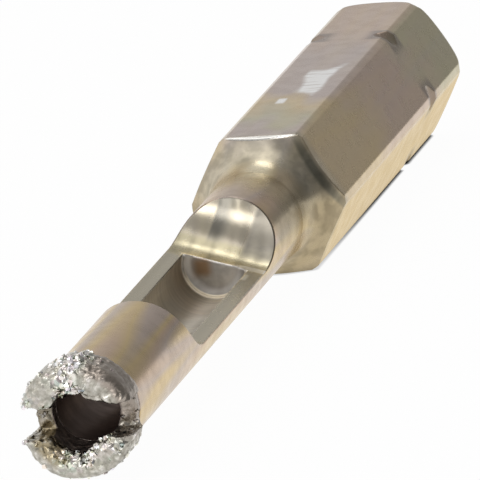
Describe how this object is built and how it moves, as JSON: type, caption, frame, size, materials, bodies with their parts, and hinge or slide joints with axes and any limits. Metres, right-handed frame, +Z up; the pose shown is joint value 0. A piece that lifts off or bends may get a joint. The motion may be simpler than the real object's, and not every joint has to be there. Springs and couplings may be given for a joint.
{
  "type": "glass and tile drill bit",
  "caption": "Hollow core drill bit for glass and tile: hexagon shank, round stem with a side window to push out the core, and a slotted crown of diamond grit.",
  "frame": {"origin": "centre of the bounding box's underside: the bit lies on one flat of its shank at Z = 0", "axes": "+Y along the bit's axis from the crown to the shank's end, +Z up from the flat it lies on, +X to the right seen from the crown"},
  "size_m": [0.0072, 0.0578, 0.0063],
  "materials": {
    "passivated_steel": "turned steel with a thin yellow passivated plating that shows faint gold, green and violet tints",
    "diamond_grit": "rough bright metal bond full of angular glassy grit"
  },
  "bodies": {
    "root": {"shank_body": "passivated_steel", "diamond_crown": "diamond_grit"}
  },
  "joints": []
}
